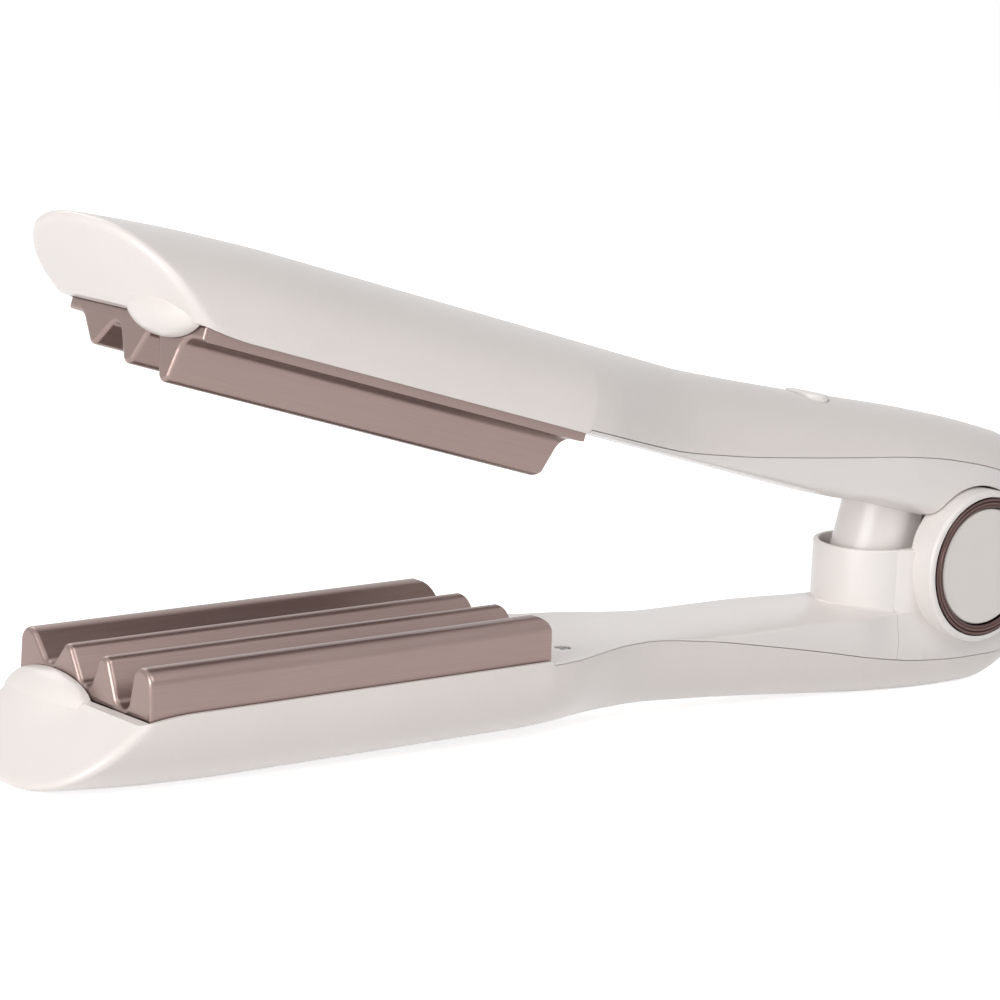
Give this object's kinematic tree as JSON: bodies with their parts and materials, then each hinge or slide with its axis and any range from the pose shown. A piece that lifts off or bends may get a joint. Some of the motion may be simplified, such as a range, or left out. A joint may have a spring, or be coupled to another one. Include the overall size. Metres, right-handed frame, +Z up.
{
  "type": "hair crimper",
  "caption": "Hair crimper with two hinged arms, meshing wave plates, a sprung hinge with round hub covers, a power button and a swivelling cord inlet.",
  "frame": {"origin": "On the surface that the lower arm rests on, straight under the hinge axis, in the middle of the width.", "axes": "+X points from the hinge to the tail, so the tips lie at -X; +Z is up; Y is along the hinge axis, and the side with the large hub cover is at -Y. The lower arm lies on the surface and the upper arm is open, as pictured."},
  "size_m": [0.2646, 0.0444, 0.1008],
  "materials": {
    "pearl_plastic": "satin pearl off-white",
    "white_plastic": "satin white",
    "bronze_plate": "satin rose-bronze coating, brushed lengthwise",
    "dark_bronze": "dark bronze metallic trim",
    "pale_grey_plastic": "satin pale grey",
    "black_plastic": "matt black, heat resistant",
    "steel": "plain steel",
    "ceramic_heater": "unglazed ceramic",
    "board": "green circuit board",
    "lead_insulation": "woven heat-resistant sleeve"
  },
  "bodies": {
    "lower_arm": {"lower_outer_shell": "pearl_plastic", "lower_inner_cover": "white_plastic", "hinge_housing": "white_plastic", "lower_wave_plate": "bronze_plate", "near_hub_ring": "dark_bronze", "far_hub_ring": "dark_bronze", "near_hub_disc": "pale_grey_plastic", "far_hub_disc": "pale_grey_plastic", "hinge_pin": "steel", "spring_cup": "white_plastic", "return_spring": "steel", "lower_heater": "ceramic_heater", "lower_heater_clamp": "steel", "lower_plate_carrier": "black_plastic", "lower_heat_sensor": "white_plastic", "lower_heater_lead": "lead_insulation", "terminal_block": "black_plastic", "swivel_housing": "white_plastic", "swivel_retainer": "steel", "lower_near_screw": "steel", "lower_far_screw": "steel"},
    "upper_arm": {"upper_outer_shell": "pearl_plastic", "upper_inner_cover": "white_plastic", "hinge_barrel": "white_plastic", "near_hinge_bush": "steel", "far_hinge_bush": "steel", "upper_wave_plate": "bronze_plate", "spring_post": "white_plastic", "upper_heater": "ceramic_heater", "upper_heater_clamp": "steel", "upper_plate_carrier": "black_plastic", "upper_thermal_fuse": "white_plastic", "upper_heater_lead": "lead_insulation", "control_board": "board", "power_switch": "black_plastic", "upper_near_screw": "steel", "upper_far_screw": "steel"},
    "button": {"power_button": "white_plastic"},
    "cord_inlet": {"cord_swivel": "white_plastic"}
  },
  "joints": [
    {"name": "arm_hinge", "type": "hinge", "parent": "lower_arm", "child": "upper_arm", "pos_m": [0, 0, 0.02749], "axis": [0, -1, 0], "range_deg": [0, 15.7], "stiffness_Nm_per_rad": 1.2, "springref_deg": -17.19, "deforming": ["return_spring"]},
    {"name": "power_button_press", "type": "slide", "parent": "upper_arm", "child": "button", "axis": [-0.1482, 0, -0.989], "range_m": [0, 0.0008], "stiffness_N_per_m": 600, "springref_m": -0.0006},
    {"name": "cord_swivel_turn", "type": "hinge", "parent": "lower_arm", "child": "cord_inlet", "pos_m": [0.03228, 0, 0.02849], "axis": [0.9995, 0, 0.0311], "continuous": true}
  ]
}
